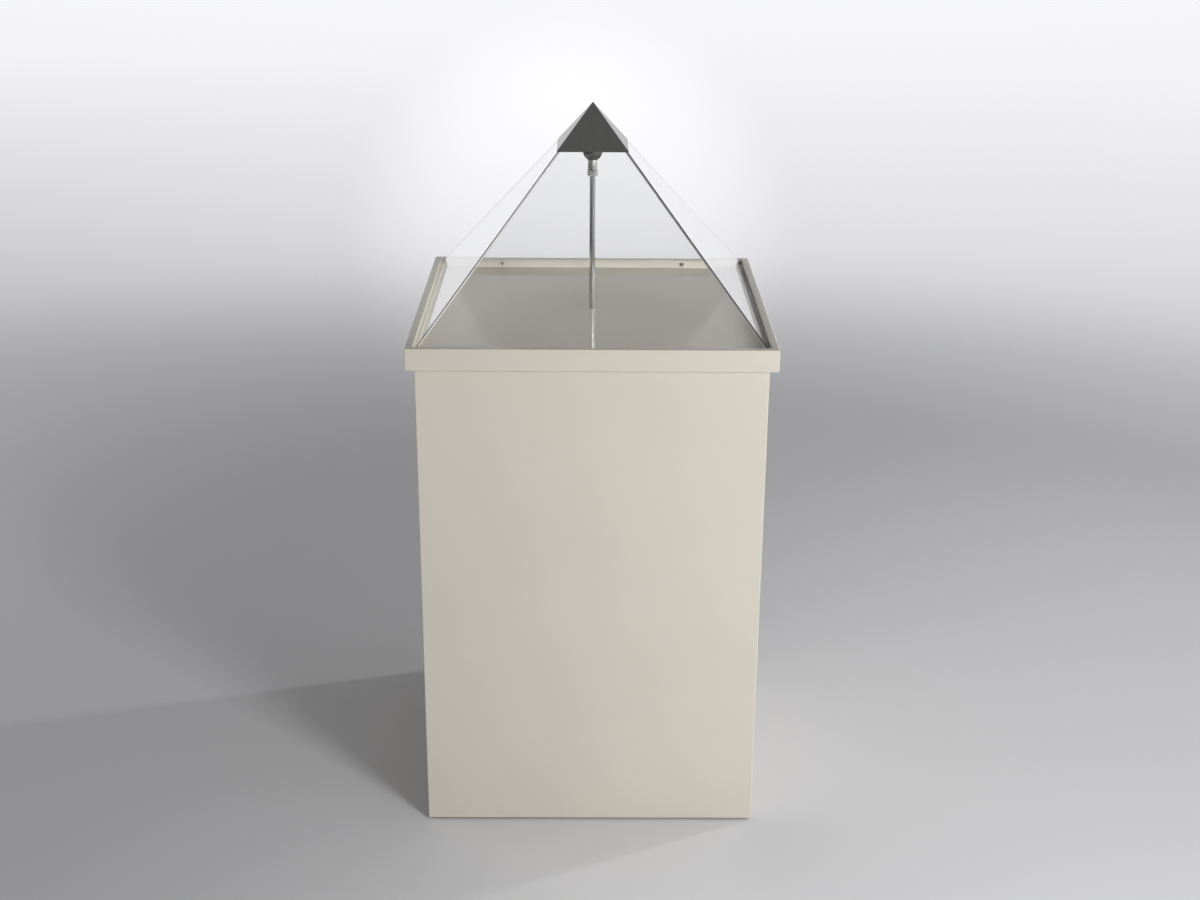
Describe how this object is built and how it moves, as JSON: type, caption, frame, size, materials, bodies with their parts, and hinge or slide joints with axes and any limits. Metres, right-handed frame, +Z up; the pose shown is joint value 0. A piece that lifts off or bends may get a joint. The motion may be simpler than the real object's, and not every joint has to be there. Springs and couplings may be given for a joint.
{
  "type": "display plinth with pyramid hood",
  "caption": "Square painted display plinth with a raised rim round a sunk deck, a lift-off clear acrylic pyramid hood with a dark apex cap, and a slim chrome post under the apex.",
  "frame": {"origin": "centre of the plinth's footprint on the floor", "axes": "+Z up along the plinth's axis and the post, front faces -Y, +X to the right seen from the front"},
  "size_m": [0.615, 0.615, 1.2524],
  "materials": {
    "painted_board": "satin cream paint",
    "deck_paint": "semi-gloss warm grey paint",
    "softwood": "planed, unfinished",
    "nylon": "moulded",
    "zinc_steel": "zinc plated",
    "brass": "turned",
    "chrome": "polished chrome plate",
    "satin_nickel": "satin nickel plate",
    "dark_metal": "dark polished",
    "clear_acrylic": "clear, polished edges",
    "black_acrylic": "sawn and polished",
    "rubber": "matt"
  },
  "bodies": {
    "plinth": {"wall_front": "painted_board", "wall_right": "painted_board", "wall_back": "painted_board", "wall_left": "painted_board", "corner_batten_front_left": "softwood", "corner_batten_front_right": "softwood", "corner_batten_back_left": "softwood", "corner_batten_back_right": "softwood", "foot_glide_front_left": "nylon", "foot_glide_front_right": "nylon", "foot_glide_back_left": "nylon", "foot_glide_back_right": "nylon", "base_rail_front": "softwood", "base_rail_right": "softwood", "base_rail_back": "softwood", "base_rail_left": "softwood", "deck_rail_front": "softwood", "deck_rail_right": "softwood", "deck_rail_back": "softwood", "deck_rail_left": "softwood", "deck_board": "deck_paint", "deck_screw_front_left": "zinc_steel", "deck_screw_front_right": "zinc_steel", "deck_screw_right_left": "zinc_steel", "deck_screw_right_right": "zinc_steel", "deck_screw_back_left": "zinc_steel", "deck_screw_back_right": "zinc_steel", "deck_screw_left_left": "zinc_steel", "deck_screw_left_right": "zinc_steel", "rim_front": "painted_board", "rim_right": "painted_board", "rim_back": "painted_board", "rim_left": "painted_board", "set_screw_left": "zinc_steel", "set_screw_right": "zinc_steel", "screw_insert_left": "brass", "screw_insert_right": "brass", "post_rod": "chrome", "post_washer": "zinc_steel", "post_nut": "zinc_steel"},
    "hood": {"hood_panel_front": "clear_acrylic", "hood_panel_right": "clear_acrylic", "hood_panel_back": "clear_acrylic", "hood_panel_left": "clear_acrylic", "hood_skirt_front": "clear_acrylic", "hood_skirt_right": "clear_acrylic", "hood_skirt_back": "clear_acrylic", "hood_skirt_left": "clear_acrylic", "apex_cap": "dark_metal", "apex_block": "black_acrylic"},
    "post_head": {"bell_seat": "dark_metal", "seat_pad": "rubber", "head_sleeve": "satin_nickel", "clamp_collet": "nylon"},
    "nut": {"clamp_nut": "satin_nickel"}
  },
  "joints": [
    {"name": "hood_lift", "type": "slide", "parent": "plinth", "child": "hood", "axis": [0, 0, 1], "range_m": [0, 0.32]},
    {"name": "head_slide", "type": "slide", "parent": "plinth", "child": "post_head", "axis": [0, 0, 1], "range_m": [-0.03, 0]},
    {"name": "nut_turn", "type": "hinge", "parent": "post_head", "child": "nut", "pos_m": [0, 0, 1.1228], "axis": [0, 0, 1], "range_deg": [-360, 0]}
  ]
}
